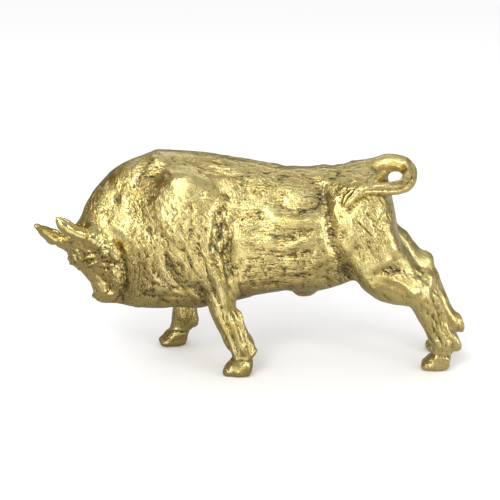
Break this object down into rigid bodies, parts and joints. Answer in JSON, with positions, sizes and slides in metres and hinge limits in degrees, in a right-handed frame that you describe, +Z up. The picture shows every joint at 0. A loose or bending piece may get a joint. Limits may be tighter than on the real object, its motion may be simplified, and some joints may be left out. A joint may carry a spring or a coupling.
{
  "type": "bull figurine",
  "caption": "Cast bull figurine with lowered, turned head, forward-swept horns, braced hind legs and a tail curled over the rump; a desk or shelf ornament.",
  "frame": {"origin": "on the ground plane that the soles rest on, under the middle of the bounding box", "axes": "+Z up, -X the way that the bull faces, -Y its left side, which the head turns towards"},
  "size_m": [0.2826, 0.0774, 0.1425],
  "materials": {
    "gilt_bronze": "polished yellow bronze, with a dark patina left in the recesses and on the belly"
  },
  "bodies": {
    "root": {"bull": "gilt_bronze"}
  },
  "joints": []
}
